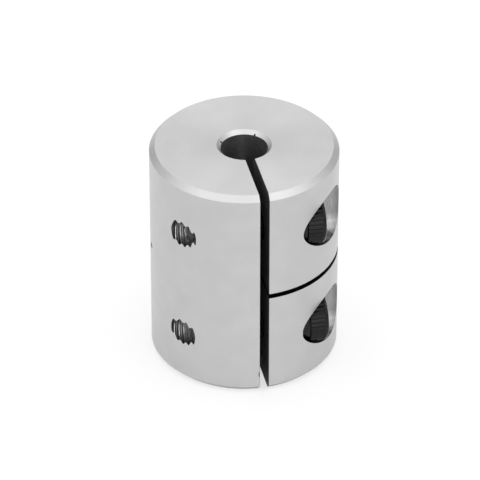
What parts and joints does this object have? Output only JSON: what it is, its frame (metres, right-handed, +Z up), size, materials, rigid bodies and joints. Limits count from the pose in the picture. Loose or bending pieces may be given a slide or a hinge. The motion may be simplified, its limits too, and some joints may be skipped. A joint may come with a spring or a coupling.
{
  "type": "rigid shaft coupling",
  "caption": "Cylindrical one-piece clamp coupling that joins two shafts end to end, with a through bore, a full-length slit, a cross slot and socket head clamp screws.",
  "frame": {"origin": "centre of the lower end face, on the bore axis", "axes": "+Z up along the bore, -Y towards the slit, +X towards the screw heads"},
  "size_m": [0.02, 0.02, 0.025],
  "materials": {
    "turned_aluminium": "turned and lightly satin, bright chamfers",
    "black_oxide_steel": "black oxide, knurled heads"
  },
  "bodies": {
    "root": {"coupling_body": "turned_aluminium", "clamp_screws": "black_oxide_steel"}
  },
  "joints": []
}
